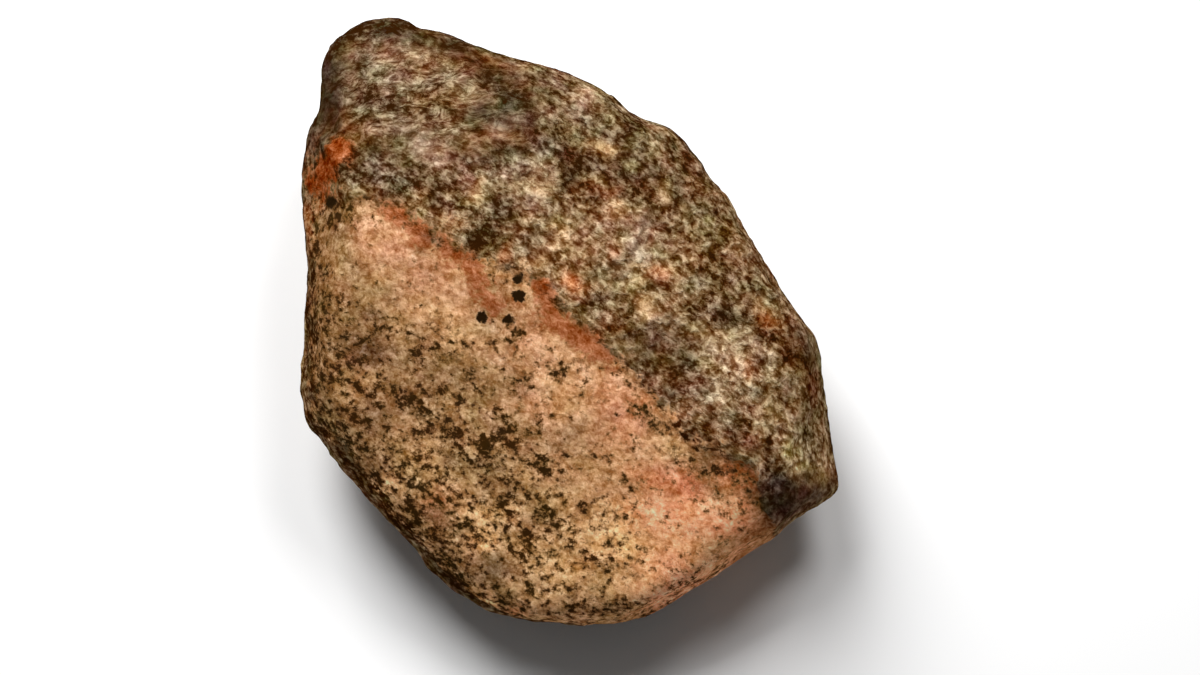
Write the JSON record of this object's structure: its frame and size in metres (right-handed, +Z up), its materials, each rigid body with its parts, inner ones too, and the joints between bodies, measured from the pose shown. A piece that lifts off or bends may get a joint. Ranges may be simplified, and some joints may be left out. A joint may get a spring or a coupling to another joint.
{
  "type": "martian meteorite",
  "caption": "Rough blunt-cornered stone with one smooth salmon face, a dark crystalline face and brown crust, lying on its back on a small flat spot.",
  "frame": {"origin": "on the floor under the middle of the stone's box, in the plane of the flat spot that it rests on", "axes": "+Z up, out of the flat spot and through the broad face; +Y along the stone's long way, towards its blunt tip"},
  "size_m": [0.2968, 0.3292, 0.1525],
  "materials": {
    "weathered_stone": "matte, pale and smooth on one face, coarse and dark elsewhere"
  },
  "bodies": {
    "root": {"meteorite": "weathered_stone"}
  },
  "joints": []
}
